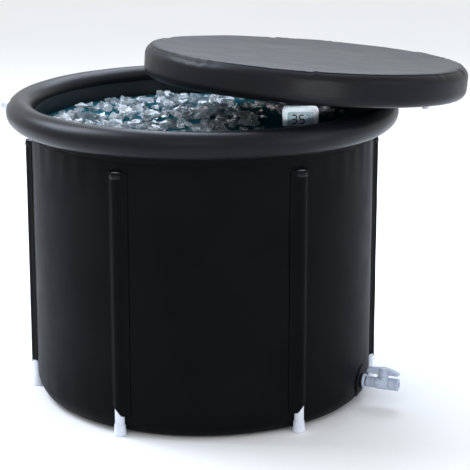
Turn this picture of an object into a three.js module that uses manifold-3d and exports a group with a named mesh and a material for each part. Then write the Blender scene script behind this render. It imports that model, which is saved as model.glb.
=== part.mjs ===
import * as THREE from 'three';
import { mergeVertices } from 'three/addons/utils/BufferGeometryUtils.js';
import Module from 'manifold-3d';

const wasm = await Module();
wasm.setup();

// Tub wall and floor, millimetres, floor at z = 0 and the front at -Y
const wallDiameter = 800;
const tubHeight = 708;
const cornerRadius = 44;
const skinThickness = 1.2;
const foamThickness = 9;
const linerThickness = 1;
const layerGap = 0.3;
const aroundSteps = 60;

// Inflated ring on the rim
const ringTubeDiameter = 64;
const ringOverhang = 25;
const ringSkin = 1.5;
const ringSides = 12;
const collarBandHeight = 30;
const collarBandThickness = 1.2;

// Six legs in sleeves on the wall
const legCount = 6;
const legTubeDiameter = 22;
const legTubeWall = 2;
const legRoom = 0.5;
const foamBehindLeg = 1;
const legSides = 12;
const sleeveFabric = 1.2;
const sleeveWeldWidth = 9;
const sleeveStretch = 5;
const sleeveBelowCrest = 103;
const sleeveMouthHigh = 66;
const sleeveMouthLow = 46;
const footRadius = 14.5;
const footHeight = 26;
const footFloor = 6;
const legCapThickness = 3;
const legCapDepth = 10;

// Drain fitting and tap, measured outwards from the wall
const drainHeight = 52;
const drainPipeRadius = 12;
const drainBoreRadius = 7;
const patchRadius = 40;
const gasketThickness = 2;
const drainFlangeRadius = 17;
const drainFlangeThickness = 6;
const drainNutRadius = 22;
const drainNutThickness = 8;
const tapLength = 90;
const tapNeckRadius = 12.5;
const tapNeckLength = 23;
const tapBodyRadius = 14.5;
const tapBodyLength = 34;
const ballRadius = 10.5;
const seatWidth = 3.4;
const stemRadius = 4;
const bossRadius = 11;
const bossRise = 2.5;
const leverLength = 78;
const leverWidth = 16;
const leverRise = 20;

// Lid pushed aside and tipped
const lidRadius = 375;
const lidThickness = 75;
const lidEdgeRadius = 23;
const lidDish = 6;
const lidSkin = 1.5;
const lidX = 236;
const lidY = -23;
const lidTilt = 5.3;
const lidTiltAngle = 36;
const lidValveX = 255;
const lidValveY = -190;

// Air valves of the ring and the lid
const valveFlangeRadius = 15;
const valveStemRadius = 7.5;
const valveBoreRadius = 4;
const valveRise = 9;
const valvePitch = 18;
const plugHeadThickness = 3;

// Floating thermometer
const caseWidth = 84;
const caseHeight = 62;
const caseDepth = 15;
const caseWall = 2;
const caseCorner = 12;
const bezelThickness = 3;
const bezelSide = 11;
const bezelBand = 13;
const floatX = 227;
const floatY = -20;
const floatBelowCrest = 86;

// Values that follow from the sizes above
const wallRadius = wallDiameter / 2;
const ringRadius = ringTubeDiameter / 2;
const foamStart = skinThickness + layerGap;
const foamEnd = foamStart + foamThickness;
const linerStart = foamEnd + layerGap;
const wallThickness = linerStart + linerThickness;
const ringCentreRadius = wallRadius + ringOverhang;
const ringHeight = tubHeight - ringRadius;
const sleeveTop = tubHeight - sleeveBelowCrest;
const floatZ = tubHeight - floatBelowCrest;
const legRadius = legTubeDiameter / 2;
const legCentre = wallRadius - foamEnd + foamBehindLeg + legRoom + legRadius;
const drainAngle = 66;
const facetSlope = Math.tan(Math.PI / aroundSteps);
const group = new THREE.Group();
group.name = 'cold_plunge_tub';

const look = {
  skin: [0x18191b, 0.45],
  foam: [0x4a4d50, 0.95],
  liner: [0x1b1d20, 0.4],
  white: [0xdfe4ea, 0.35],
  rubber: [0x141414, 0.8],
  steel: [0xb8bcc0, 0.3],
  glass: [0xaecbd2, 0.1],
  lcd: [0x8fa9b5, 0.4],
  cell: [0xc0c3c6, 0.3],
};

function toSolid(geometry) {
  const bare = geometry.clone();
  bare.deleteAttribute('normal');
  bare.deleteAttribute('uv');
  const welded = mergeVertices(bare, 1e-4);
  const index = welded.index.array;
  const kept = [];
  for (let i = 0; i < index.length; i += 3) {
    const [a, b, c] = [index[i], index[i + 1], index[i + 2]];
    if (a !== b && b !== c && a !== c) {
      kept.push(a, b, c);
    }
  }
  const vertProperties = new Float32Array(welded.attributes.position.array);
  const triVerts = new Uint32Array(kept);
  return new wasm.Manifold(new wasm.Mesh({ numProp: 3, vertProperties, triVerts }));
}

function addNode(name, solid, slot, place) {
  const mesh = solid.getMesh();
  const geometry = new THREE.BufferGeometry();
  geometry.setAttribute('position', new THREE.BufferAttribute(new Float32Array(mesh.vertProperties), 3));
  geometry.setIndex(new THREE.BufferAttribute(new Uint32Array(mesh.triVerts), 1));
  if (place) {
    geometry.applyMatrix4(place);
  }
  geometry.computeVertexNormals();
  const [color, roughness] = look[slot];
  const material = new THREE.MeshStandardMaterial({ color, roughness });
  material.name = slot;
  const node = new THREE.Mesh(geometry, material);
  node.name = name;
  group.add(node);
}

// Solid of revolution about Z from [radius, height] points, anticlockwise
function turned(points, steps = aroundSteps) {
  const path = points.map(([radius, height]) => new THREE.Vector2(radius, height));
  const geometry = new THREE.LatheGeometry(path, steps);
  geometry.rotateX(Math.PI / 2);
  return toSolid(geometry);
}

function turnedRing(points, steps = aroundSteps) {
  return turned([...points, points[0]], steps);
}

function rod(radius, low, high, steps = 24) {
  return turned([[0, low], [radius, low], [radius, high], [0, high]], steps);
}

function washer(inner, outer, low, high, steps = 24) {
  return turnedRing([[inner, low], [outer, low], [outer, high], [inner, high]], steps);
}

function arc(centreX, centreY, radius, from, to, count) {
  const points = [];
  for (let i = 0; i <= count; i += 1) {
    const angle = THREE.MathUtils.degToRad(from + ((to - from) * i) / count);
    points.push([centreX + radius * Math.cos(angle), centreY + radius * Math.sin(angle)]);
  }
  return points;
}

// Plate from a closed outline, standing on z = 0
function plate(points, depth) {
  const shape = new THREE.Shape(points.map(([x, y]) => new THREE.Vector2(x, y)));
  return toSolid(new THREE.ExtrudeGeometry(shape, { depth, bevelEnabled: false, steps: 1 }));
}

function turn(x, y, z) {
  return new THREE.Matrix4().makeRotationFromEuler(new THREE.Euler(x, y, z));
}

function shift(x, y, z) {
  return new THREE.Matrix4().makeTranslation(x, y, z);
}

function moved(solid, matrix) {
  return solid.transform(matrix.elements);
}

// Height of the ring's underside over a given radius
function ringUnderside(radius) {
  const across = ringCentreRadius - radius;
  return ringHeight - Math.sqrt(Math.max(0, ringRadius ** 2 - across ** 2));
}

// Bucket profile at a depth inside the outer face, from the corner to the top
function bucketCurve(depth, top) {
  const corner = arc(wallRadius - cornerRadius, cornerRadius, cornerRadius - depth, -90, 0, 5);
  return [...corner, [wallRadius - depth, top]];
}

function bucketSolid(depth, top) {
  return turned([[0, depth], ...bucketCurve(depth, top), [0, top]]);
}

function torusSolid(radius) {
  const points = arc(ringCentreRadius, ringHeight, radius, 0, 360, ringSides).slice(0, -1);
  return turnedRing(points);
}

// Drain frame: +X outwards from the wall, +Z up
const drainTurn = THREE.MathUtils.degToRad(drainAngle - 90);
const drainPlace = turn(0, 0, drainTurn)
  .multiply(shift(wallRadius, 0, drainHeight));
const alongX = turn(0, Math.PI / 2, 0);

function drainRod(radius, low, high, steps = 24) {
  return moved(rod(radius, low, high, steps), alongX);
}

const wallHole = moved(drainRod(drainPipeRadius + layerGap, -40, 20), drainPlace);

// Wall in three layers
const skinTop = ringUnderside(wallRadius) - layerGap;
const foamTop = ringUnderside(wallRadius - foamStart) - layerGap;
const linerTop = ringUnderside(wallRadius - linerStart) - layerGap;
const hemRadius = wallRadius - cornerRadius;
const skinProfile = [
  ...bucketCurve(0, skinTop),
  ...bucketCurve(skinThickness, skinTop).reverse(),
];
const foamProfile = [
  ...bucketCurve(foamStart, foamTop),
  ...bucketCurve(foamEnd, foamTop).reverse(),
];
const linerProfile = [
  [0, linerStart],
  ...bucketCurve(linerStart, linerTop),
  ...bucketCurve(wallThickness, linerTop).reverse(),
  [0, wallThickness],
];

// Upright hollows in the wall that take the legs and, wider, their feet
let wallCut = wallHole;
for (let i = 0; i < legCount; i += 1) {
  const angle = ((i + 0.5) * 2 * Math.PI) / legCount;
  const hollow = rod(legRadius + legRoom, -5, sleeveTop - sleeveFabric, 16);
  const footHollow = rod(footRadius + legRoom, -5, footHeight + legRoom, 16);
  const atLeg = turn(0, 0, angle).multiply(shift(0, -legCentre, 0));
  wallCut = wallCut.add(moved(hollow.add(footHollow), atLeg));
}
addNode('outer_skin', turnedRing(skinProfile).subtract(wallCut), 'skin');
addNode('base_panel', rod(hemRadius - layerGap, 0, skinThickness, aroundSteps), 'skin');
addNode('foam_wall', turnedRing(foamProfile).subtract(wallCut), 'foam');
addNode('foam_floor', rod(hemRadius - layerGap, foamStart, foamEnd, aroundSteps), 'foam');
addNode('inner_liner', turned(linerProfile).subtract(wallHole), 'liner');

// Ring with its valve, which points out and a little up on the -X side
const valveAxis = turn(0, -Math.PI / 2 + THREE.MathUtils.degToRad(valvePitch), 0);
const ringValvePlace = shift(-ringCentreRadius, 0, ringHeight).multiply(valveAxis);
const ringHole = moved(rod(valveStemRadius + layerGap, ringRadius / 2, ringRadius + 20, 16), ringValvePlace);
const ringShell = torusSolid(ringRadius).subtract(torusSolid(ringRadius - ringSkin));
addNode('ring_tube', ringShell.subtract(ringHole), 'skin');

const bandInner = wallRadius + layerGap;
const bandOuter = bandInner + collarBandThickness;
const bandTop = ringUnderside(bandOuter) - layerGap;
addNode('collar_band', washer(bandInner, bandOuter, bandTop - collarBandHeight, bandTop, aroundSteps), 'skin');

const saddleSkin = torusSolid(ringRadius + layerGap + ringSkin).subtract(torusSolid(ringRadius + layerGap));
const saddleDisc = moved(rod(valveFlangeRadius, ringRadius / 2, ringRadius + 20, 20), ringValvePlace);
const stemInside = 6;
const ringStem = moved(rod(valveStemRadius, ringRadius - stemInside, ringRadius + valveRise, 16), ringValvePlace);
const ringBore = moved(rod(valveBoreRadius, ringRadius - 20, ringRadius + 30, 16), ringValvePlace);
const ringValve = saddleSkin.intersect(saddleDisc).add(ringStem).subtract(ringBore);
addNode('ring_valve_base', ringValve, 'white');

function plugAt(seat) {
  const stopper = valveBoreRadius - layerGap;
  const head = seat + layerGap;
  return turned([
    [0, seat - valveRise],
    [stopper, seat - valveRise],
    [stopper, head],
    [valveStemRadius, head],
    [valveStemRadius, head + plugHeadThickness],
    [0, head + plugHeadThickness],
  ], 16);
}
addNode('ring_valve_plug', moved(plugAt(ringRadius + valveRise), ringValvePlace), 'white');

// Sleeve section: x along the wall, y the distance from the tub's axis, negated
function wallLine(across) {
  return wallRadius + layerGap - Math.abs(across) * facetSlope;
}

const archInner = legRadius + legRoom;
const archOuter = archInner + sleeveFabric;
const weldStart = archOuter + sleeveStretch;
const weldEnd = weldStart + sleeveWeldWidth;
const weldRise = wallLine(weldStart) + sleeveFabric - legCentre;
const reach = Math.hypot(weldStart, weldRise);
const leaveAngle = Math.atan2(weldRise, weldStart) + Math.acos(archOuter / reach);
const leaveDegrees = THREE.MathUtils.radToDeg(leaveAngle);

function sleeveBlock() {
  const arch = arc(0, legCentre, archOuter, leaveDegrees, 180 - leaveDegrees, 8);
  const outline = [
    [-weldEnd, wallLine(weldEnd)],
    [0, wallLine(0)],
    [weldEnd, wallLine(weldEnd)],
    [weldEnd, wallLine(weldEnd) + sleeveFabric],
    [weldStart, wallLine(weldStart) + sleeveFabric],
    ...arch,
    [-weldStart, wallLine(weldStart) + sleeveFabric],
    [-weldEnd, wallLine(weldEnd) + sleeveFabric],
  ];
  const height = sleeveTop - sleeveMouthLow;
  return plate(outline.map(([x, y]) => [x, -y]), height);
}

function sleeveChannel() {
  const arch = arc(0, legCentre, archInner, leaveDegrees, 180 - leaveDegrees, 8);
  const [startX, startY] = arch[0];
  const down = reach;
  const footX = startX + down * Math.sin(leaveAngle);
  const footY = startY - down * Math.cos(leaveAngle);
  const outline = [[footX, footY], ...arch, [-footX, footY]];
  const height = sleeveTop - sleeveMouthLow - sleeveFabric;
  return moved(plate(outline.map(([x, y]) => [x, -y]), height + 5), shift(0, 0, -5));
}

// Slanting mouth of a sleeve, higher on one side
function mouthCut(side) {
  const rise = sleeveMouthHigh - sleeveMouthLow;
  const outline = [[-weldEnd - 5, -5], [weldEnd + 5, -5], [weldEnd + 5, 0]];
  for (let i = 0; i <= 6; i += 1) {
    const across = legRadius - (2 * legRadius * i) / 6;
    const share = Math.sin((Math.PI / 2) * (i / 6));
    outline.push([across, rise * share]);
  }
  outline.push([-weldEnd - 5, rise]);
  const cutter = plate(outline.map(([x, z]) => [x * side, z]), 80);
  return moved(cutter, shift(0, 40 - legCentre, 0).multiply(turn(Math.PI / 2, 0, 0)));
}

const legTop = sleeveTop - sleeveFabric - legRoom - legCapThickness - layerGap;
for (let i = 0; i < legCount; i += 1) {
  const angle = ((i + 0.5) * 2 * Math.PI) / legCount;
  const side = i % 2 === 0 ? -1 : 1;
  const atLeg = turn(0, 0, angle).multiply(shift(0, -legCentre, 0));
  const atMouth = turn(0, 0, angle).multiply(shift(0, 0, sleeveMouthLow));
  const sleeve = sleeveBlock().subtract(sleeveChannel()).subtract(mouthCut(side));
  addNode(`sleeve_${i + 1}`, sleeve, 'skin', atMouth);
  const bore = legRadius - legTubeWall;
  const tubeLow = footFloor + layerGap;
  addNode(`leg_tube_${i + 1}`, washer(bore, legRadius, tubeLow, legTop, legSides), 'white', atLeg);
  const socket = legRadius + layerGap;
  const foot = turned([
    [0, 0],
    [footRadius - 1, 0],
    [footRadius, 1],
    [footRadius, footHeight * 0.25],
    [socket + 1.6, footHeight * 0.7],
    [socket + 1.2, footHeight],
    [socket, footHeight],
    [socket, footFloor],
    [0, footFloor],
  ], legSides);
  addNode(`leg_foot_${i + 1}`, foot, 'white', atLeg);
  const spigot = bore - layerGap;
  const capLow = legTop + layerGap;
  const cap = turned([
    [0, legTop - legCapDepth],
    [spigot, legTop - legCapDepth],
    [spigot, capLow],
    [legRadius, capLow],
    [legRadius, capLow + legCapThickness],
    [0, capLow + legCapThickness],
  ], legSides);
  addNode(`leg_cap_${i + 1}`, cap, 'white', atLeg);
}

// Drain through the wall: patch, gaskets, flange and nut
const patchShell = bucketSolid(-layerGap - 1, skinTop).subtract(bucketSolid(-layerGap, skinTop + 1));
const patchDisc = moved(drainRod(patchRadius, -30, 20, 32), drainPlace);
addNode('drain_patch', patchShell.intersect(patchDisc).subtract(wallHole), 'skin');

const pipeHole = drainPipeRadius + layerGap;
const gasketLow = 1 + 2 * layerGap;
const flangeLow = gasketLow + gasketThickness + layerGap;
const flangeHigh = flangeLow + drainFlangeThickness;
const gasketRing = moved(washer(pipeHole, drainFlangeRadius, gasketLow, gasketLow + gasketThickness), alongX);
addNode('drain_gasket', gasketRing, 'rubber', drainPlace);

const wallClear = drainNutRadius * facetSlope + 4;
const innerFace = -wallThickness - wallClear;
const nutHigh = innerFace - gasketThickness;
const nutLow = nutHigh - drainNutThickness;
const pipeLow = nutLow - 3;
const spigotRadius = drainPipeRadius - 2;
const spigotLength = 12;
const flange = turnedRing([
  [drainBoreRadius, pipeLow],
  [drainPipeRadius, pipeLow],
  [drainPipeRadius, flangeLow],
  [drainFlangeRadius, flangeLow],
  [drainFlangeRadius, flangeHigh],
  [spigotRadius, flangeHigh],
  [spigotRadius, flangeHigh + spigotLength],
  [drainBoreRadius, flangeHigh + spigotLength],
], 24);
addNode('drain_flange', moved(flange, alongX), 'white', drainPlace);

const innerGasketSolid = moved(washer(pipeHole, drainNutRadius - 3, nutHigh + layerGap, 0), alongX);
const tubSpace = bucketSolid(wallThickness + layerGap, linerTop);
const innerGasket = moved(innerGasketSolid, drainPlace).intersect(tubSpace);
addNode('inner_gasket', innerGasket, 'rubber');

const hexNut = drainRod(drainNutRadius, nutLow, nutHigh, 6).subtract(drainRod(pipeHole, nutLow - 5, nutHigh + 5));
addNode('drain_nut', hexNut, 'white', drainPlace);

// Tap: neck, ball, seats, stem, outlet and lever
const oringLow = flangeHigh + layerGap;
const oringHigh = oringLow + gasketThickness;
const oring = washer(spigotRadius + layerGap, tapNeckRadius - 0.8, oringLow, oringHigh);
addNode('tap_oring', moved(oring, alongX), 'rubber', drainPlace);

const neckLow = oringHigh + layerGap;
const bodyLow = neckLow + tapNeckLength;
const bodyHigh = bodyLow + tapBodyLength;
const cavityRadius = ballRadius + 0.5;
const cavityLow = bodyLow + 2;
const ballAt = (bodyLow + bodyHigh) / 2;
const socketEnd = flangeHigh + spigotLength + layerGap;
const boreBend = Math.max(socketEnd, neckLow + 1);
const bodyShell = turnedRing([
  [spigotRadius + layerGap, neckLow],
  [tapNeckRadius, neckLow],
  [tapNeckRadius, bodyLow - 1],
  [tapBodyRadius, bodyLow + 1],
  [tapBodyRadius, bodyHigh],
  [cavityRadius, bodyHigh],
  [cavityRadius, cavityLow],
  [drainBoreRadius, cavityLow],
  [drainBoreRadius, boreBend],
  [spigotRadius + layerGap, boreBend],
], 24);
const bossTop = tapBodyRadius + bossRise;
const toBall = shift(ballAt, 0, 0);
const bossSolid = moved(rod(bossRadius, 0, bossTop), toBall);
const bossCore = drainRod(cavityRadius, cavityLow, bodyHigh + 5);
const stemHole = moved(rod(stemRadius + layerGap, 0, bossTop + 5, 16), toBall);
const tapBody = moved(bodyShell, alongX).add(bossSolid.subtract(bossCore)).subtract(stemHole);
addNode('tap_body', tapBody, 'white', drainPlace);

const ballGeometry = new THREE.SphereGeometry(ballRadius, 16, 10);
const clearBall = toSolid(new THREE.SphereGeometry(ballRadius + layerGap, 16, 10));
const crossBore = moved(rod(drainBoreRadius - 1, -20, 20, 16), turn(Math.PI / 2, 0, 0));
const stemFoot = ballRadius - 2.5;
const ballSocket = rod(stemRadius + layerGap, stemFoot - layerGap, ballRadius + 5, 16);
const ball = toSolid(ballGeometry).subtract(crossBore).subtract(ballSocket);
addNode('tap_ball', moved(ball, toBall), 'steel', drainPlace);

const seatOuter = cavityRadius - layerGap;
const seatInner = drainBoreRadius + 0.2;
const seatReach = Math.sqrt(ballRadius ** 2 - seatInner ** 2);
const clearBallAt = moved(clearBall, toBall);
const seatInLow = cavityLow + layerGap;
const seatIn = moved(washer(seatInner, seatOuter, seatInLow, ballAt - seatReach + 1), alongX);
addNode('seat_in', seatIn.subtract(clearBallAt), 'rubber', drainPlace);
const seatOutHigh = ballAt + seatReach + seatWidth;
const seatOut = moved(washer(seatInner, seatOuter, ballAt + seatReach - 1, seatOutHigh), alongX);
addNode('seat_out', seatOut.subtract(clearBallAt), 'rubber', drainPlace);

const outletLow = bodyHigh + layerGap;
const outlet = turnedRing([
  [drainBoreRadius, seatOutHigh + layerGap],
  [seatOuter, seatOutHigh + layerGap],
  [seatOuter, outletLow],
  [tapBodyRadius, outletLow],
  [tapBodyRadius, tapLength - 3],
  [tapBodyRadius - 1.5, tapLength],
  [drainBoreRadius, tapLength],
], 24);
addNode('tap_outlet', moved(outlet, alongX), 'white', drainPlace);

const leverLow = bossTop + layerGap;
const wingLow = leverLow + 5;
const leverHigh = leverLow + leverRise;
const screwSeat = leverHigh - 6;
const stemTop = screwSeat - layerGap;
const screwRadius = 1.8;
const screwHole = rod(screwRadius + layerGap, stemTop - 9, stemTop + 5, 12);
addNode('tap_stem', moved(rod(stemRadius, stemFoot, stemTop, 16).subtract(screwHole), toBall), 'steel', drainPlace);

const half = leverLength / 2;
const leverOutline = [
  [-bossRadius, leverLow],
  [bossRadius, leverLow],
  [bossRadius + 4, wingLow],
  [half - 2, wingLow],
  [half, wingLow + 2],
  [half, wingLow + 4],
  [half * 0.8, leverHigh - 4.5],
  [half * 0.45, leverHigh - 1.2],
  [0, leverHigh],
  [-half * 0.6, leverHigh - 0.8],
  [-half * 0.92, leverHigh - 2.4],
  [-half, leverHigh - 5],
  [-half, wingLow + 2],
  [-half + 2, wingLow],
  [-bossRadius - 4, wingLow],
];
const leverBar = moved(plate(leverOutline, leverWidth), turn(Math.PI / 2, 0, 0));
const leverSolid = moved(leverBar, shift(0, leverWidth / 2, 0));
const leverHole = rod(stemRadius + layerGap, leverLow - 5, screwSeat, 16);
const headRadius = 5;
const headHole = rod(headRadius + layerGap, screwSeat - 0.5, leverHigh + 5, 16);
addNode('tap_lever', moved(leverSolid.subtract(leverHole).subtract(headHole), toBall), 'white', drainPlace);

const screwHead = rod(headRadius, screwSeat, screwSeat + 3, 16);
const screwShank = rod(screwRadius, stemTop - 8, screwSeat + 1, 12);
addNode('lever_screw', moved(screwHead.add(screwShank), toBall), 'steel', drainPlace);

// Lid: hollow, with a dished top, resting on the ring where it tips down
const tilt = THREE.MathUtils.degToRad(lidTilt);
const tiltTurn = THREE.MathUtils.degToRad(lidTiltAngle);
const lidAlong = lidX * Math.cos(tiltTurn) + lidY * Math.sin(tiltTurn);
const contactReach = Math.sin(tilt) * (ringCentreRadius - lidAlong);
const lidHeight = ringHeight + (ringRadius + layerGap + contactReach) / Math.cos(tilt);
const lidPlace = shift(lidX, lidY, lidHeight)
  .multiply(turn(0, 0, tiltTurn))
  .multiply(turn(0, tilt, 0))
  .multiply(turn(0, 0, -tiltTurn));

function lidSolid(inset, steps) {
  const edge = lidEdgeRadius - inset;
  const outer = lidRadius - lidEdgeRadius;
  const low = arc(outer, lidEdgeRadius, edge, -90, 0, 4);
  const high = arc(outer, lidThickness - lidEdgeRadius, edge, 0, 90, 4);
  const top = lidThickness - inset;
  const dish = [[outer - 60, top - lidDish * 0.7], [outer - 140, top - lidDish], [0, top - lidDish]];
  return turned([[0, inset], ...low, ...high, ...dish], steps);
}

const lidSteps = 48;
const lidValveAt = shift(lidValveX, lidValveY, 0).multiply(turn(Math.PI, 0, 0));
const lidHole = moved(rod(valveStemRadius + layerGap, -lidThickness / 2, 10, 16), lidValveAt);
const lidShell = lidSolid(0, lidSteps).subtract(lidSolid(lidSkin, lidSteps)).subtract(lidHole);
addNode('lid_cover', lidShell, 'skin', lidPlace);

const lidValve = turnedRing([
  [valveBoreRadius, -stemInside],
  [valveStemRadius, -stemInside],
  [valveStemRadius, layerGap],
  [valveFlangeRadius, layerGap],
  [valveFlangeRadius, layerGap + ringSkin],
  [valveStemRadius, layerGap + ringSkin],
  [valveStemRadius, valveRise],
  [valveBoreRadius, valveRise],
], 16);
const lidValvePlace = lidPlace.clone().multiply(lidValveAt);
addNode('lid_valve_base', lidValve, 'white', lidValvePlace);
addNode('lid_valve_plug', plugAt(valveRise), 'white', lidValvePlace);

// Thermometer case facing the front, built from its back face towards -Y
function roundRect(width, height, radius) {
  const x = width / 2 - radius;
  const y = height / 2 - radius;
  return [
    ...arc(x, y, radius, 0, 90, 4),
    ...arc(-x, y, radius, 90, 180, 4),
    ...arc(-x, -y, radius, 180, 270, 4),
    ...arc(x, -y, radius, 270, 360, 4),
  ];
}

function slab(width, height, radius, from, to) {
  const solid = plate(roundRect(width, height, radius), to - from);
  return moved(solid, turn(Math.PI / 2, 0, 0).multiply(shift(0, 0, from)));
}

const floatPlace = shift(floatX, floatY, floatZ + caseHeight / 2);
const cavityWidth = caseWidth - 2 * caseWall;
const cavityHeight = caseHeight - 2 * caseWall;
const cavityCorner = caseCorner - caseWall;
const caseCavity = slab(cavityWidth, cavityHeight, cavityCorner, caseWall, caseDepth + 5);
const caseShell = slab(caseWidth, caseHeight, caseCorner, 0, caseDepth).subtract(caseCavity);
addNode('thermometer_back', caseShell, 'white', floatPlace);

const glassWidth = caseWidth - 2 * bezelSide;
const glassHeight = caseHeight - 2 * bezelBand;
const bezelLow = caseDepth + layerGap;
const bezelHigh = bezelLow + bezelThickness;
const bezelHole = slab(glassWidth, glassHeight, cavityCorner / 2, bezelLow - 5, bezelHigh + 5);
const bezel = slab(caseWidth, caseHeight, caseCorner, bezelLow, bezelHigh).subtract(bezelHole);
addNode('thermometer_bezel', bezel, 'white', floatPlace);

const fit = 2 * layerGap;
const pane = slab(glassWidth - fit, glassHeight - fit, cavityCorner / 2 - layerGap, bezelLow, bezelHigh - 0.8);
addNode('thermometer_window', pane, 'glass', floatPlace);

const lcdHigh = caseDepth;
const lcdLow = lcdHigh - 2.5;
const lcd = slab(cavityWidth - fit, cavityHeight - fit, cavityCorner - layerGap, lcdLow, lcdHigh);
addNode('thermometer_lcd', lcd, 'lcd', floatPlace);

const cell = moved(rod(10, caseWall + layerGap, lcdLow - layerGap), turn(Math.PI / 2, 0, 0));
addNode('thermometer_battery', cell, 'cell', floatPlace);

export default group;
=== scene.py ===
import math
import random
import bmesh
import bpy
from mathutils import Matrix, Vector, noise


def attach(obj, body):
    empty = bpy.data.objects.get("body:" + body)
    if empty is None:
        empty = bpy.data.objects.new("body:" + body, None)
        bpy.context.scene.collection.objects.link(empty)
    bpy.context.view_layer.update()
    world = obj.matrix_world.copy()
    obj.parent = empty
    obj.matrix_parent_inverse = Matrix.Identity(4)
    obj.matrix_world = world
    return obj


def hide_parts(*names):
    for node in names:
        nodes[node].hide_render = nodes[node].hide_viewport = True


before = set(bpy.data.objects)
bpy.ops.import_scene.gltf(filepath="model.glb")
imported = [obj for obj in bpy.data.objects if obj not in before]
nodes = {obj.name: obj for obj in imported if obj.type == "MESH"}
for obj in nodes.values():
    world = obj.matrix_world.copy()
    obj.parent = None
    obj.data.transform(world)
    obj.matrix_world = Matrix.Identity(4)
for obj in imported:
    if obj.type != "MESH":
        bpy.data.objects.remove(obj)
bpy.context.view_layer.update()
print("frame loaded")


def linear(hexColour):
    parts = [int(hexColour[i:i + 2], 16) / 255 for i in (1, 3, 5)]
    return [p / 12.92 if p <= 0.04045 else ((p + 0.055) / 1.055) ** 2.4 for p in parts] + [1.0]


def add(tree, kind, **inputs):
    node = tree.nodes.new("ShaderNode" + kind)
    for key, value in inputs.items():
        name = key.replace("_", " ")
        if isinstance(value, bpy.types.NodeSocket):
            tree.links.new(value, node.inputs[name])
        else:
            node.inputs[name].default_value = value
    return node


def newMaterial(name, **sockets):
    material = bpy.data.materials.new(name)
    material.use_nodes = True
    tree = material.node_tree
    shader = tree.nodes["Principled BSDF"]
    for key, value in sockets.items():
        shader.inputs[key.replace("_", " ")].default_value = value
    place = add(tree, "TexCoord").outputs["Object"]
    return material, tree, shader, place


def tone(tree, shader, place, dark, light, scale, detail=4.0):
    cloud = add(tree, "TexNoise", Vector=place, Scale=scale, Detail=detail)
    ramp = add(tree, "ValToRGB", Fac=cloud.outputs["Fac"])
    ramp.color_ramp.elements[0].position = 0.32
    ramp.color_ramp.elements[0].color = linear(dark)
    ramp.color_ramp.elements[1].position = 0.7
    ramp.color_ramp.elements[1].color = linear(light)
    tree.links.new(ramp.outputs["Color"], shader.inputs["Base Color"])


def dull(tree, shader, place, low, high, scale):
    cloud = add(tree, "TexNoise", Vector=place, Scale=scale, Detail=3.0)
    span = add(tree, "MapRange", Value=cloud.outputs["Fac"], To_Min=low, To_Max=high)
    tree.links.new(span.outputs["Result"], shader.inputs["Roughness"])


def relief(tree, shader, layers):
    normal = None
    for height, strength, distance in layers:
        bump = add(tree, "Bump", Height=height, Strength=strength, Distance=distance)
        if normal is not None:
            tree.links.new(normal, bump.inputs["Normal"])
        normal = bump.outputs["Normal"]
    tree.links.new(normal, shader.inputs["Normal"])


def weave(tree, place, period):
    heights = []
    for direction in ("X", "Z"):
        wave = add(tree, "TexWave", Vector=place, Scale=0.314 / period, Distortion=0.4)
        wave.bands_direction = direction
        heights.append(wave.outputs["Fac"])
    both = add(tree, "Math")
    both.operation = "MULTIPLY"
    tree.links.new(heights[0], both.inputs[0])
    tree.links.new(heights[1], both.inputs[1])
    return both.outputs["Value"]


def vinyl(name, dark, light, rough, period, swell, shine=0.5):
    material, tree, shader, place = newMaterial(name, IOR=1.53, Specular_IOR_Level=shine)
    tone(tree, shader, place, dark, light, 7.0)
    dull(tree, shader, place, rough - 0.06, rough + 0.08, 16.0)
    ripple = add(tree, "TexNoise", Vector=place, Scale=11.0, Detail=2.0).outputs["Fac"]
    relief(tree, shader, [(weave(tree, place, period), 0.22, 0.0002), (ripple, 0.25, swell)])
    return material


def plastic(name, dark, light, rough, grain):
    material, tree, shader, place = newMaterial(name, IOR=1.49)
    shader.inputs["Subsurface Weight"].default_value = 0.06
    shader.inputs["Subsurface Radius"].default_value = (0.004, 0.004, 0.004)
    tone(tree, shader, place, dark, light, 22.0)
    dull(tree, shader, place, rough - 0.05, rough + 0.07, 60.0)
    pits = add(tree, "TexNoise", Vector=place, Scale=grain, Detail=2.0).outputs["Fac"]
    relief(tree, shader, [(pits, 0.12, 0.0002)])
    return material


# calendered coated fabric: satin black with the yarns just pressing through
wallVinyl = vinyl("coated_fabric_calendered", "#050506", "#090a0b", 0.5, 0.0014, 0.0012, 0.05)
# smooth welded film, blown tight: broad soft highlights
ringVinyl = vinyl("inflated_vinyl_welded", "#08090c", "#0e1014", 0.34, 0.0011, 0.0006, 0.17)
# embossed film on the lid: duller, greys where it is seen edge on
lidVinyl = vinyl("lid_vinyl_embossed", "#090a0c", "#101115", 0.4, 0.0016, 0.0012, 0.15)
# cast inner film, wet and glossy
linerVinyl = vinyl("liner_film_cast", "#0d0f11", "#16191c", 0.3, 0.002, 0.0008)
# injection moulded white with a cool cast
whitePlastic = plastic("white_plastic_moulded", "#ccd4e4", "#e2e7f1", 0.36, 900.0)
# tap moulding: greyer and duller than the feet
tapPlastic = plastic("tap_plastic_moulded", "#a6b3ca", "#bec8da", 0.4, 900.0)
# extruded pipe: same white, drawn smoother
pipePlastic = plastic("white_pipe_extruded", "#cfd6e4", "#e4e8f0", 0.3, 500.0)
# bezel, fine spark texture
casePlastic = plastic("case_plastic_moulded", "#b2c2cf", "#c6d3dd", 0.32, 1400.0)
# pressed nitrile: matt black
sealRubber = plastic("seal_rubber_pressed", "#0c0c0c", "#171717", 0.7, 700.0)


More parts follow.
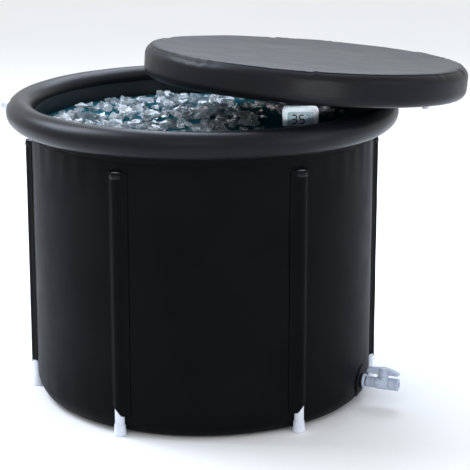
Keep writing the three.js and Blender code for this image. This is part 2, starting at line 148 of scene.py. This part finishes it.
# turned stainless steel: fine rings that draw the highlight out
def turnedSteel():
    material, tree, shader, place = newMaterial("stainless_steel_turned", Metallic=1.0, Roughness=0.28)
    tone(tree, shader, place, "#a9adb0", "#c4c7c9", 40.0)
    rings = add(tree, "TexWave", Vector=place, Scale=900.0, Distortion=0.3).outputs["Fac"]
    relief(tree, shader, [(rings, 0.08, 0.0001)])
    return material


# cast acrylic: all but invisible, a faint sheen over the figures
def clearPane():
    material, tree, shader, place = newMaterial("window_acrylic_cast", IOR=1.49, Alpha=0.04)
    shader.inputs["Base Color"].default_value = linear("#f2f7f8")
    dull(tree, shader, place, 0.02, 0.06, 80.0)
    return material


# printed display glass: pale blue grey
def displayPanel():
    material, tree, shader, place = newMaterial("display_glass_printed", IOR=1.52)
    tone(tree, shader, place, "#7895a3", "#86a2af", 30.0)
    dull(tree, shader, place, 0.3, 0.4, 200.0)
    return material


# dyed segments: near black on the panel
def segmentInk():
    material, tree, shader, place = newMaterial("display_segments_dyed", IOR=1.5)
    tone(tree, shader, place, "#0a141b", "#101d26", 300.0)
    dull(tree, shader, place, 0.35, 0.45, 200.0)
    return material


# still cold water: dark teal, with no mirror of the studio
def poolWater():
    material, tree, shader, place = newMaterial("cold_water_still", IOR=1.33, Specular_IOR_Level=0.0)
    tone(tree, shader, place, "#10333b", "#1c4a54", 9.0)
    shader.inputs["Roughness"].default_value = 0.04
    ripples = add(tree, "TexNoise", Vector=place, Scale=26.0, Detail=3.0).outputs["Fac"]
    relief(tree, shader, [(ripples, 0.16, 0.003)])
    return material


# broken clear ice: bright edges, dark water showing between
def clearIce():
    material, tree, shader, place = newMaterial("ice_broken_clear", IOR=1.31, Transmission_Weight=0.84)
    tone(tree, shader, place, "#e2edf2", "#fbfdfe", 38.0)
    dull(tree, shader, place, 0.02, 0.12, 70.0)
    frost = add(tree, "TexNoise", Vector=place, Scale=90.0, Detail=4.0).outputs["Fac"]
    relief(tree, shader, [(frost, 0.25, 0.001)])
    return material


steel = turnedSteel()
print("materials ready")


def linkUp(name, data):
    thing = bpy.data.objects.new(name, data)
    bpy.context.scene.collection.objects.link(thing)
    return thing


def redress(material, *names):
    for name in names:
        nodes[name].data.materials.clear()
        nodes[name].data.materials.append(material)


def gridMesh(name, rows, aroundClosed, alongClosed, material, sharp=38):
    count = len(rows[0])
    points = [p for row in rows for p in row]
    faces = []
    for j in range(len(rows) - (0 if alongClosed else 1)):
        low, high = j * count, ((j + 1) % len(rows)) * count
        for i in range(count - (0 if aroundClosed else 1)):
            k = (i + 1) % count
            faces.append((low + i, low + k, high + k, high + i))
    mesh = bpy.data.meshes.new(name)
    mesh.from_pydata(points, [], faces)
    work = bmesh.new()
    work.from_mesh(mesh)
    bmesh.ops.remove_doubles(work, verts=work.verts, dist=1e-6)
    bmesh.ops.holes_fill(work, edges=work.edges, sides=0)
    bmesh.ops.recalc_face_normals(work, faces=work.faces)
    work.to_mesh(mesh)
    work.free()
    mesh.polygons.foreach_set("use_smooth", [True] * len(mesh.polygons))
    mesh.set_sharp_from_angle(angle=math.radians(sharp))
    mesh.materials.append(material)
    return linkUp(name, mesh)


def spin(name, profile, steps, material, closed=False, bend=None, place=None, sharp=38):
    rows = []
    angles = steps if isinstance(steps, list) else [2 * math.pi * i / steps for i in range(steps)]
    for radius, height in profile:
        row = []
        for angle in angles:
            r, z = bend(angle, radius, height) if bend else (radius, height)
            point = Vector((r * math.sin(angle), -r * math.cos(angle), z))
            row.append(place @ point if place else point)
        rows.append(row)
    return gridMesh(name, rows, True, closed, material, sharp)


def arcPoints(x, y, radius, start, end, count):
    points = []
    for i in range(count + 1):
        a = math.radians(start + (end - start) * i / count)
        points.append((x + radius * math.cos(a), y + radius * math.sin(a)))
    return points


def stretch(low, high, count):
    return [low + (high - low) * i / count for i in range(count + 1)]


def settle(piece, body, slot, *replaced):
    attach(piece, body)
    if replaced:
        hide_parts(*replaced)
    return piece


# camera at the photograph's angle
view = {"spot": (-0.14815, -4.13881, 1.48411), "forward": (0.05215, 0.96412, -0.26029),
        "lens": 137.87, "sensor": 36}
camera = linkUp("camera", bpy.data.cameras.new("camera"))
camera.data.sensor_width = view["sensor"]
camera.data.lens = view["lens"]
camera.location = view["spot"]
camera.rotation_euler = Vector(view["forward"]).to_track_quat("-Z", "Y").to_euler()
bpy.context.scene.camera = camera
print("camera set")

# tub body: the wall with its base, then the wet liner
tub = {"radius": 0.4, "corner": 0.044, "top": 0.6556, "thick": 0.0105, "linerDepth": 0.0108,
       "linerTop": 0.6755, "film": 0.001}
folds = {"depth": 0.003, "pleat": 0.0009, "pleatCount": 46, "pleatFrom": 0.52, "pleatSpan": 0.13,
         "crease": 0.0014, "creaseAt": 0.05, "creaseSpan": 0.09, "slack": 0.0008, "inset": 0.0006}
leg = {"count": 6, "first": 30, "pitch": 60, "near": 2.4, "far": 55.2, "centre": 0.402, "tube": 0.011,
       "bore": 0.009, "arch": 0.0115, "cloth": 0.0012, "weldStart": 0.0177, "weldEnd": 0.0267,
       "top": 0.605, "mouthHigh": 0.066, "mouthLow": 0.046, "tubeLow": 0.0063, "tubeTop": 0.6,
       "foot": 0.026, "footHollow": 0.0155, "pipeHollow": 0.0117}


def wallFold(angle, radius, height):
    low = max(0.0, tub["corner"] - height)
    face = tub["radius"] - tub["corner"] + math.sqrt(max(0.0, tub["corner"] ** 2 - low ** 2))
    if radius < face - folds["depth"]:
        return radius, height
    share = max(0.0, (height - folds["pleatFrom"]) / folds["pleatSpan"])
    stray = 2.1 * noise.noise((angle * 3, 0.3, 1.7))
    pull = folds["pleat"] * share * math.sin(angle * folds["pleatCount"] + stray)
    foot = max(0.0, 1 - abs(height - folds["creaseAt"]) / folds["creaseSpan"])
    crease = folds["crease"] * foot * noise.noise((math.cos(angle) * 9, math.sin(angle) * 9, height * 24))
    slack = folds["slack"] * noise.noise((math.cos(angle) * 4, math.sin(angle) * 4, height * 6))
    keep = min(1.0, max(0.0, (height - 0.002) / 0.02))
    loose = radius + (pull + crease + slack - folds["inset"]) * keep
    if radius < tub["radius"] - tub["corner"] or height > leg["top"] - 0.001:
        return loose, height
    away = (angle - math.radians(leg["first"]) + math.pi / 6) % (math.pi / 3) - math.pi / 6
    hollow = leg["footHollow"] if height < leg["foot"] + 0.0008 else leg["pipeHollow"]
    across = (radius * math.sin(away)) ** 2
    sunk = leg["centre"] - math.sqrt(hollow ** 2 - across) if across < hollow ** 2 else 1.0
    return min(loose, sunk / math.cos(away)), height


def legAngles():
    angles = []
    for sector in range(leg["count"]):
        middle = leg["first"] + leg["pitch"] * sector
        near = [middle + leg["near"] * k / 12 for k in range(-12, 13)]
        far = [middle + leg["near"] + leg["far"] * k / 44 for k in range(1, 44)]
        angles += [math.radians(a) for a in near + far]
    return angles


def bucket(depth, top, rows):
    corner = arcPoints(tub["radius"] - tub["corner"], tub["corner"], tub["corner"] - depth, -90, 0, 12)
    return corner + [(tub["radius"] - depth, z) for z in stretch(tub["corner"], top, rows)[1:]]


outside = bucket(0, tub["top"], 52)
inside = bucket(tub["thick"], tub["top"] + 0.004, 2)
wallProfile = [(0.0, 0.0), (0.2, 0.0)] + outside + inside[::-1] + [(0.0, tub["thick"])]
wall = spin("wall_skin", wallProfile, legAngles(), wallVinyl, bend=wallFold)
settle(wall, "tub", "skin", "outer_skin", "base_panel", "foam_wall", "foam_floor")

linerOut = bucket(tub["linerDepth"], tub["linerTop"], 12)
linerFace = tub["linerDepth"] + tub["film"]
linerIn = bucket(linerFace, tub["linerTop"], 30)
linerProfile = [(0.0, tub["linerDepth"])] + linerOut + linerIn[::-1] + [(0.0, linerFace)]
liner = spin("liner_film", linerProfile, 160, linerVinyl)
settle(liner, "tub", "liner", "inner_liner")
print("tub body made")

# inflated ring: blown tight, pulled in a little along its welds
ring = {"centre": 0.425, "height": 0.676, "radius": 0.0319, "steps": 288, "sides": 48, "pucker": 0.0011,
        "puckerCount": 74, "swell": 0.0005, "groove": 0.0007, "inset": 0.0003}


def ringPoint(angle, turn):
    inner = max(0.0, math.cos(turn - math.radians(205)))
    stray = 3 * noise.noise((angle * 5, 1.1, 0.2))
    pucker = ring["pucker"] * inner ** 6 * math.sin(angle * ring["puckerCount"] + stray)
    swell = ring["swell"] * noise.noise((math.cos(angle) * 5, math.sin(angle) * 5, turn * 0.8))
    groove = ring["groove"] * math.exp(-((turn - math.radians(232)) / 0.05) ** 2)
    radius = ring["radius"] + pucker * 0.5 + swell - groove - ring["inset"]
    r = ring["centre"] + radius * math.cos(turn)
    z = ring["height"] + radius * math.sin(turn)
    return Vector((r * math.sin(angle), -r * math.cos(angle), z))


ringRows = []
for j in range(ring["sides"]):
    turn = 2 * math.pi * j / ring["sides"]
    ringRows.append([ringPoint(2 * math.pi * i / ring["steps"], turn) for i in range(ring["steps"])])
rim = gridMesh("rim_ring", ringRows, True, True, ringVinyl)
settle(rim, "tub", "skin", "ring_tube")

# weld skirt under the ring, its lower hem wavering
skirt = {"inner": 0.4004, "middle": 0.401, "outer": 0.4017, "low": 0.6232, "high": 0.6532, "hem": 0.02}


def skirtWave(angle, radius, height):
    if height > skirt["low"] + skirt["hem"]:
        return radius, height
    drift = noise.noise((math.cos(angle) * 6, math.sin(angle) * 6, 2.0))
    wave = 0.0012 * math.sin(angle * 18) + 0.0022 * drift
    lift = 0.0006 * (1 + math.sin(angle * 30))
    return radius + (lift if radius > skirt["middle"] else 0.0), height + wave


skirtProfile = [(skirt["inner"], skirt["low"]), (skirt["outer"], skirt["low"]),
                (skirt["outer"], skirt["low"] + 0.003), (skirt["outer"] - 0.0004, skirt["low"] + 0.0045),
                (skirt["outer"], skirt["low"] + 0.006), (skirt["outer"], skirt["high"]),
                (skirt["inner"], skirt["high"])]
hem = spin("weld_skirt", skirtProfile, 240, wallVinyl, closed=True, bend=skirtWave)
settle(hem, "tub", "skin", "collar_band")
print("ring made")

# sleeves and legs; the cloth lies on the wall's flat facets
facets = 60
slope = math.tan(math.pi / facets)
weldSteps = ((0.014, 0.0), (0.012, 0.0009), (0.007, 0.0009), (0.005, 0.0))


def legTurn(index):
    return Matrix.Rotation(math.radians(leg["pitch"] * index + leg["first"]), 4, "Z")


def clothSection(rise):
    base = [0.4003 - abs(x) * slope for x in (leg["weldEnd"], leg["weldStart"])]
    reach = leg["arch"] + rise
    drop = base[1] + leg["cloth"] - leg["centre"]
    span = math.hypot(leg["weldStart"], drop)
    bend = math.acos((leg["arch"] + leg["cloth"]) / span)
    leave = math.degrees(math.atan2(drop, leg["weldStart"]) + bend)
    arch = arcPoints(0, leg["centre"], reach, leave, 180 - leave, 20)
    lift = rise + 0.0002
    half = (leg["weldEnd"] + leg["weldStart"]) / 2
    right = [(leg["weldEnd"], base[0] + lift), (half, (base[0] + base[1]) / 2 + lift)]
    right.append((leg["weldStart"], base[1] + lift))
    return right + arch + [(-x, y) for x, y in right[::-1]]


def makeSleeve(index):
    side = -1 if index % 2 == 0 else 1
    facing = legTurn(index)
    outer = clothSection(leg["cloth"])
    inner = clothSection(0.0)
    loop = outer + inner[::-1]
    rows = []
    for j in range(61):
        share = j / 60
        row = []
        for k, (x, y) in enumerate(loop):
            across = min(1.0, max(0.0, (leg["tube"] - x * side) / (2 * leg["tube"])))
            mouth = leg["mouthLow"] + (leg["mouthHigh"] - leg["mouthLow"]) * math.sin(math.pi / 2 * across)
            z = mouth + (leg["top"] - mouth) * share
            cloth = noise.noise((index * 7 + x * 60, y * 8, z * 22)) if k < len(outer) else 0.0
            flat = abs(x) > leg["weldStart"] - 0.001
            row.append(facing @ Vector((x, -(y + (0.0001 if flat else 0.0006) * cloth), z)))
        rows.append(row)
    sleeve = gridMesh(f"sleeve_cloth_{index + 1}", rows, True, False, wallVinyl, 50)
    settle(sleeve, "tub", "skin", f"sleeve_{index + 1}")
    tack = arcPoints(0, leg["centre"], leg["arch"] + leg["cloth"] + 0.0009, 18, 162, 20)
    weldRows = []
    for below, out in weldSteps:
        z = leg["top"] - below
        weldRows.append([facing @ Vector((x * (1 + out * 40), -(y + out - 0.0009), z)) for x, y in tack])
    weld = gridMesh(f"sleeve_weld_{index + 1}", weldRows, False, False, ringVinyl, 50)
    settle(weld, "tub", "skin")


def makeLeg(index):
    spot = legTurn(index) @ Matrix.Translation((0, -leg["centre"], 0))
    number = index + 1
    tubeProfile = [(leg["bore"], leg["tubeLow"]), (leg["tube"], leg["tubeLow"]),
                   (leg["tube"], leg["tubeTop"]), (leg["bore"], leg["tubeTop"])]
    tube = spin(f"leg_pipe_{number}", tubeProfile, 40, pipePlastic, closed=True, place=spot)
    settle(tube, f"leg_{number}", "white", f"leg_tube_{number}")
    footProfile = [(0.0, 0.0), (0.0105, 0.0), (0.0115, 0.0012), (0.0129, 0.0012), (0.0139, 0.0003)]
    footProfile += [(0.0145, 0.0012), (0.0145, 0.0058), (0.0142, 0.0082), (0.0136, 0.012), (0.0131, 0.017)]
    footProfile += [(0.0128, 0.022), (0.0127, 0.025), (0.0123, leg["foot"]), (0.0113, leg["foot"])]
    footProfile += [(0.0113, 0.006), (0.0, 0.006)]
    foot = spin(f"leg_foot_cap_{number}", footProfile, 48, whitePlastic, place=spot)
    settle(foot, f"leg_{number}", "white", f"leg_foot_{number}")


for index in range(leg["count"]):
    makeSleeve(index)
    makeLeg(index)
print("sleeves and legs made")

# drain tap: axis out from the wall, 66 degrees round from the front
tap = {"angle": -24, "height": 0.052, "ball": 0.0525, "patchIn": 0.0132, "patchOut": 0.04}
tapSpot = Matrix.Rotation(math.radians(tap["angle"]), 4, "Z")
tapSpot = tapSpot @ Matrix.Translation((tub["radius"], 0, tap["height"]))
tapAxis = tapSpot @ Matrix.Rotation(math.pi / 2, 4, "Y")
tapStem = tapSpot @ Matrix.Translation((tap["ball"], 0, 0))


def tapTurned(name, profile, body, replaced, material=tapPlastic):
    piece = spin(name, profile, 64, material, closed=True, place=tapAxis)
    return settle(piece, body, "white", *replaced)


flangeProfile = [(0.007, -0.0299), (0.012, -0.0299), (0.012, 0.0039), (0.0166, 0.0039), (0.017, 0.0044)]
flangeProfile += [(0.017, 0.0088), (0.0163, 0.0097), (0.0152, 0.0099), (0.01, 0.0099), (0.01, 0.0219)]
flangeProfile += [(0.007, 0.0219)]
tapTurned("drain_collar", flangeProfile, "tub", ["drain_flange"])

neckProfile = [(0.0103, 0.0125), (0.012, 0.0125), (0.0125, 0.013), (0.0125, 0.0275), (0.0128, 0.0285)]
neckProfile += [(0.0128, 0.0315), (0.0125, 0.0325), (0.0126, 0.0345), (0.0145, 0.0365), (0.0145, 0.0645)]
neckProfile += [(0.0141, 0.0652), (0.0145, 0.0659), (0.0145, 0.0689), (0.014, 0.0695), (0.011, 0.0695)]
neckProfile += [(0.011, 0.0375), (0.007, 0.0375), (0.007, 0.0222), (0.0103, 0.0222)]
tapTurned("tap_barrel", neckProfile, "tub", ["tap_body"])
bossProfile = [(0.0043, 0.0112), (0.0112, 0.0112), (0.0112, 0.0135), (0.011, 0.0162), (0.0103, 0.017)]
bossProfile += [(0.0043, 0.017)]
boss = spin("tap_bonnet", bossProfile, 56, tapPlastic, closed=True, place=tapStem)
settle(boss, "tub", "white")

outletProfile = [(0.007, 0.0641), (0.0107, 0.0641), (0.0107, 0.0698), (0.014, 0.0698), (0.0145, 0.0703)]
outletProfile += [(0.0145, 0.0745)]
for k in range(4):
    start = 0.0752 + 0.003 * k
    outletProfile += [(0.0141, start), (0.0145, start + 0.0009), (0.0145, start + 0.002)]
outletProfile += [(0.0145, 0.0882), (0.0141, 0.0895), (0.0132, 0.09), (0.0084, 0.09), (0.007, 0.0888)]
tapTurned("tap_spout", outletProfile, "tub", ["tap_outlet"])

lever = {"half": 0.039, "low": 0.0173, "wing": 0.0223, "high": 0.0373, "width": 0.008, "hub": 0.011}


def leverTop(x):
    share = x / lever["half"]
    if share < 0:
        return lever["high"] - 0.0026 * share ** 2 - 0.0028 * max(0, -share - 0.86) / 0.14
    return lever["high"] - 0.0105 * share ** 2.2


def leverBottom(x):
    gap = abs(x) - lever["hub"]
    if gap <= 0:
        return lever["low"]
    return min(lever["wing"], lever["low"] + gap * 1.25) + 0.0018 * max(0.0, (abs(x) - 0.035) / 0.004)


def leverSection(x):
    low, high = leverBottom(x), leverTop(x)
    end = min(1.0, (lever["half"] - abs(x)) / 0.006)
    width = lever["width"] * (0.8 + 0.2 * math.sqrt(max(0.0, end)))
    if abs(x) < 0.014:
        width = max(width, math.sqrt(max(0.0, 0.0125 ** 2 - x ** 2)) * 0.9)
    soft = min(0.0028, (high - low) * 0.4)
    corners = [(width - soft, high - soft, 0), (-width + soft, high - soft, 90),
               (-width + soft, low + soft, 180), (width - soft, low + soft, 270)]
    section = []
    for y, z, start in corners:
        section += arcPoints(y, z, soft, start, start + 90, 5)
    return section


leverRows = []
for x in stretch(-lever["half"], lever["half"], 64):
    leverRows.append([tapStem @ Vector((x, y, z)) for y, z in leverSection(x)])
handle = gridMesh("tap_handle", leverRows, True, False, tapPlastic, 50)
settle(handle, "lever", "white", "tap_lever")
redress(steel, "tap_stem", "tap_ball")
screwProfile = [(0.0, 0.0358), (0.0018, 0.0358), (0.0022, 0.0362), (0.0022, 0.0374), (0.0046, 0.0374)]
screwProfile += [(0.005, 0.0371), (0.005, 0.0313), (0.0, 0.0313)]
screw = spin("handle_screw", screwProfile, 32, steel, place=tapStem)
settle(screw, "lever", "steel", "lever_screw")

patchRows = []
for j in range(13):
    ringRow = []
    reach = tap["patchIn"] + (tap["patchOut"] - tap["patchIn"]) * j / 12
    for i in range(72):
        a = 2 * math.pi * i / 72
        across, up = reach * math.cos(a), tap["height"] + reach * math.sin(a)
        low = max(0.0, tub["corner"] - up)
        fall = tub["corner"] - math.sqrt(max(0.0, tub["corner"] ** 2 - low ** 2))
        out = math.sqrt((tub["radius"] - fall) ** 2 - across ** 2) - tub["radius"]
        edge = 0.0014 if j < 11 else (0.0017 if j == 11 else 0.0004)
        ringRow.append(tapSpot @ Vector((out + edge, across, up - tap["height"])))
    patchRows.append(ringRow)
patch = gridMesh("drain_patch_weld", patchRows, True, False, wallVinyl, 50)
settle(patch, "tub", "skin", "drain_patch")
redress(sealRubber, "drain_gasket", "inner_gasket", "tap_oring", "seat_in", "seat_out")
redress(whitePlastic, "drain_nut", "ring_valve_base", "ring_valve_plug", "lid_valve_base", "lid_valve_plug")
redress(whitePlastic, *[f"leg_cap_{index + 1}" for index in range(leg["count"])])
print("tap made")

# lid: blown disc, pushed aside and tipped onto the ring
lid = {"radius": 0.3748, "thick": 0.0748, "edge": 0.023, "dish": 0.006, "x": 0.236, "y": -0.023, "turn": 36,
       "tilt": 5.3, "rise": 0.0323, "pucker": 0.0095, "broad": 0.0012, "steps": 288}
tilt = math.radians(lid["tilt"])
lidTurn = math.radians(lid["turn"])
lidAlong = lid["x"] * math.cos(lidTurn) + lid["y"] * math.sin(lidTurn)
lidLift = lid["rise"] + math.sin(tilt) * (ring["centre"] - lidAlong)
lidHeight = ring["height"] + lidLift / math.cos(tilt)
lidSpot = Matrix.Translation((lid["x"], lid["y"], lidHeight)) @ Matrix.Rotation(lidTurn, 4, "Z")
lidSpot = lidSpot @ Matrix.Rotation(tilt, 4, "Y") @ Matrix.Rotation(-lidTurn, 4, "Z")


def lidPucker(angle, radius, height):
    rim = math.exp(-((lid["radius"] - radius) / 0.03) ** 2)
    seam = math.exp(-((height - lid["thick"] + 0.004) / 0.009) ** 2)
    patch = max(0.0, noise.noise((math.cos(angle) * 5, math.sin(angle) * 5, 7.0)) + 0.1)
    beat = noise.noise((math.cos(angle) * 30, math.sin(angle) * 30, 0.4))
    fold = lid["pucker"] * rim * seam * beat * patch
    broad = noise.noise((radius * math.cos(angle) * 9, radius * math.sin(angle) * 9, 1.0))
    broad *= lid["broad"]
    up = min(1.0, max(0.0, (height - 0.03) / 0.02))
    return radius + 0.5 * fold - 0.0004, height + (fold + broad) * up - 0.0008 * up


edgeIn = lid["radius"] - lid["edge"]
lidTop = lid["thick"]
lidProfile = [(0.0, 0.0003), (0.2, 0.0003)]
lidProfile += arcPoints(edgeIn, lid["edge"], lid["edge"] - 0.0003, -90, 0, 10)
lidProfile += arcPoints(edgeIn, lidTop - lid["edge"], lid["edge"], 0, 62, 8)
seamSteps = ((0.0102, 0.0012), (0.009, 0.0026), (0.0075, 0.0008))
lidProfile += [(edgeIn + out, lidTop - down) for out, down in seamSteps]
for k in range(13):
    lidProfile.append((edgeIn - 0.004 - 0.0115 * k, lidTop - lid["dish"] * math.sin(math.pi / 2 * k / 12)))
lidProfile += [(r, lidTop - lid["dish"]) for r in (edgeIn - 0.19, edgeIn - 0.27, 0.0)]
cover = spin("lid_pad", lidProfile, lid["steps"], lidVinyl, bend=lidPucker, place=lidSpot, sharp=70)
settle(cover, "lid", "skin", "lid_cover")
print("lid made")

# thermometer: soft-edged case, display and its plain reading
meter = {"x": 0.227, "back": -0.02, "z": 0.653, "width": 0.084, "height": 0.062, "corner": 0.012,
         "glassWidth": 0.062, "glassHeight": 0.036, "glassCorner": 0.005, "inkDepth": 0.01508}
digit = {"low": -0.0098, "wide": 0.0105, "tall": 0.0196, "thick": 0.004}


def roundLoop(width, height, radius, depth):
    x, z = width / 2 - radius, height / 2 - radius
    loop = arcPoints(x, z, radius, 0, 90, 8) + arcPoints(-x, z, radius, 90, 180, 8)
    loop += arcPoints(-x, -z, radius, 180, 270, 8) + arcPoints(x, -z, radius, 270, 360, 8)
    return [Vector((meter["x"] + px, meter["back"] - depth, meter["z"] + pz)) for px, pz in loop]


def caseRing(inset, depth):
    radius = meter["corner"] - inset * 0.6
    return roundLoop(meter["width"] - 2 * inset, meter["height"] - 2 * inset, radius, depth)


backSteps = ((0.006, 0.0), (0.003, 0.0004), (0.001, 0.0016), (0.0, 0.004), (0.0, 0.0146), (0.0004, 0.015),
             (0.002, 0.015), (0.002, 0.002))
backRows = [caseRing(inset, depth) for inset, depth in backSteps]
shell = gridMesh("meter_back_shell", backRows, True, False, casePlastic)
settle(shell, "thermometer", "white", "thermometer_back")


def glassRing(inset, depth):
    width, height = meter["glassWidth"] - 2 * inset, meter["glassHeight"] - 2 * inset
    return roundLoop(width, height, meter["glassCorner"], depth)


rimSteps = ((0.0022, 0.0153), (0.0005, 0.0153), (0.0, 0.0157), (0.0003, 0.0168), (0.0012, 0.0178),
            (0.0026, 0.0183), (0.006, 0.0183))
glassSteps = ((-0.0012, 0.0183), (-0.0003, 0.018), (0.0, 0.0174), (0.0, 0.0153))
frontRows = [caseRing(inset, depth) for inset, depth in rimSteps]
frontRows += [glassRing(inset, depth) for inset, depth in glassSteps]
bezel = gridMesh("meter_bezel", frontRows, True, True, casePlastic, 50)
settle(bezel, "thermometer", "white", "thermometer_bezel")
redress(displayPanel(), "thermometer_lcd")
redress(clearPane(), "thermometer_window")
redress(steel, "thermometer_battery")


def bar(x0, z0, x1, z1, thick):
    along = Vector((x1 - x0, 0, z1 - z0)).normalized()
    across = Vector((-along.z, 0, along.x)) * thick / 2
    start, end = Vector((x0, 0, z0)), Vector((x1, 0, z1))
    tip = along * thick / 2
    return [start, start + tip + across, end - tip + across, end, end - tip - across, start + tip - across]


def digitBars(shown, x, z, wide, tall, thick):
    top, mid, low, right = z + tall, z + tall / 2, z, x + wide
    segments = {"a": (x, top, right, top), "b": (right, top, right, mid), "c": (right, mid, right, low),
                "d": (x, low, right, low), "e": (x, low, x, mid), "f": (x, mid, x, top), "g": (x, mid, right, mid)}
    return [bar(*segments[key], thick) for key in shown]


reading = []
for shown, x in (("abgcd", -0.0205), ("afgcd", -0.0025)):
    reading += digitBars(shown, x, digit["low"], digit["wide"], digit["tall"], digit["thick"])
reading += [bar(-0.0062, -0.0112, -0.0062, -0.0074, 0.0036)]
reading += digitBars("afed", 0.0185, 0.0012, 0.005, 0.0085, 0.0014)
reading += digitBars("abgf", 0.0138, 0.007, 0.0024, 0.0048, 0.0009)
ink = bmesh.new()
for outline in reading:
    spots = [(meter["x"] + p.x, meter["back"] - meter["inkDepth"], meter["z"] + p.z) for p in outline]
    ink.faces.new([ink.verts.new(spot) for spot in spots])
bmesh.ops.solidify(ink, geom=ink.faces[:], thickness=0.0001)
inkMesh = bpy.data.meshes.new("meter_reading")
ink.to_mesh(inkMesh)
ink.free()
inkMesh.materials.append(segmentInk())
figures = linkUp("meter_reading", inkMesh)
settle(figures, "thermometer", "lcd")
print("thermometer made")

# water and broken ice: the tub's contents, carried by the tub
fill = {"level": 0.638, "radius": 0.3865, "depth": 0.002, "rings": 24, "steps": 96, "shards": 900, "seed": 41,
        "iceReach": 0.36, "small": 0.011, "large": 0.03, "corners": 9, "sparseFrom": 0.1, "sparse": 0.6,
        "meterY": -0.03, "roomX": 0.09, "roomY": 0.07, "chamfer": 0.0007}
waterRows = []
for k in range(fill["rings"] + 1):
    reach = fill["radius"] * k / fill["rings"]
    row = []
    for i in range(fill["steps"]):
        a = 2 * math.pi * i / fill["steps"]
        x, y = reach * math.sin(a), -reach * math.cos(a)
        row.append(Vector((x, y, fill["level"] + 0.0012 * noise.noise((x * 14, y * 14, 3.0)))))
    waterRows.append(row)
waterRows.append([Vector((p.x, p.y, fill["level"] - fill["depth"])) for p in waterRows[-1]])
water = gridMesh("water_surface", waterRows, True, False, poolWater(), 60)
settle(water, "tub", "liner")

dice = random.Random(fill["seed"])
ice = bmesh.new()
for k in range(fill["shards"]):
    reach = fill["iceReach"] * math.sqrt(dice.random())
    a = dice.uniform(0, 2 * math.pi)
    x, y = reach * math.cos(a), reach * math.sin(a)
    thinned = x > fill["sparseFrom"] and dice.random() < fill["sparse"]
    if thinned or (abs(x - meter["x"]) < fill["roomX"] and abs(y - fill["meterY"]) < fill["roomY"]):
        continue
    size = dice.uniform(fill["small"], fill["large"])
    spinTurn = Matrix.Rotation(dice.uniform(0, 6.28), 3, "Z")
    spinTurn = spinTurn @ Matrix.Rotation(dice.uniform(-0.7, 0.7), 3, "X")
    spinTurn = spinTurn @ Matrix.Rotation(dice.uniform(-0.6, 0.6), 3, "Y")
    corners = []
    for n in range(fill["corners"]):
        p = Vector([dice.gauss(0, 1) for axis in range(3)]).normalized()
        p = Vector((p.x * size, p.y * size * 0.8, p.z * size * 0.5)) * dice.uniform(0.8, 1.05)
        middle = Vector((x, y, fill["level"] + size * dice.uniform(-0.05, 0.22)))
        corners.append(ice.verts.new(spinTurn @ p + middle))
    hull = bmesh.ops.convex_hull(ice, input=corners)
    loose = hull["geom_interior"] + hull["geom_unused"]
    spare = [g for g in loose if isinstance(g, bmesh.types.BMVert)]
    bmesh.ops.delete(ice, geom=list(set(spare)), context="VERTS")
iceMesh = bpy.data.meshes.new("ice_shards")
ice.to_mesh(iceMesh)
ice.free()
iceMesh.materials.append(clearIce())
shards = linkUp("ice_shards", iceMesh)
chamfer = shards.modifiers.new("chamfer", "BEVEL")
chamfer.width = fill["chamfer"]
chamfer.segments = 1
settle(shards, "tub", "glass")
print("water and ice made")

# plain pale floor and soft studio light
floorMesh = bpy.data.meshes.new("floor")
floorHalf = 9
floorCorners = [(x * floorHalf, y * floorHalf, 0) for x, y in ((-1, -1), (1, -1), (1, 1), (-1, 1))]
floorMesh.from_pydata(floorCorners, [], [(0, 1, 2, 3)])
floor = linkUp("floor", floorMesh)
floorPaint, floorTree, floorShader, floorPlace = newMaterial("floor_matt_pale")
tone(floorTree, floorShader, floorPlace, "#f0f0f0", "#f5f5f5", 0.6)
floorShader.inputs["Roughness"].default_value = 0.8
floorMesh.materials.append(floorPaint)


def softbox(name, spot, aim, size, power, colour="#ffffff", spread=180):
    lamp = bpy.data.lights.new(name, "AREA")
    lamp.energy = power
    lamp.size = size
    lamp.spread = math.radians(spread)
    lamp.color = linear(colour)[:3]
    box = linkUp(name, lamp)
    box.location = spot
    box.rotation_euler = (Vector(aim) - Vector(spot)).to_track_quat("-Z", "Y").to_euler()


softbox("key_left", (-2.2, 0.6, 2.8), (0, 0, 0.6), 1.6, 110, "#e4eeff")
softbox("top_back", (0.4, 1.8, 3.0), (0, 0, 0.7), 2.2, 105, "#dde9ff")
softbox("fill_right", (3.0, -2.0, 1.6), (0, 0, 0.4), 1.8, 18, "#e6efff")
softbox("front_high", (-0.6, -3.6, 3.0), (0.1, 0, 0.6), 1.2, 9)
softbox("low_front", (0.3, -3.5, 1.2), (0.227, -0.04, 0.66), 0.12, 0.075, "#ffffff", 3.6)
world = bpy.data.worlds.new("studio")
world.use_nodes = True
world.node_tree.nodes["Background"].inputs["Color"].default_value = linear("#f4f6f8")
world.node_tree.nodes["Background"].inputs["Strength"].default_value = 1.0
bpy.context.scene.world = world
bpy.context.scene.view_settings.view_transform = "Standard"
print("stage lit")
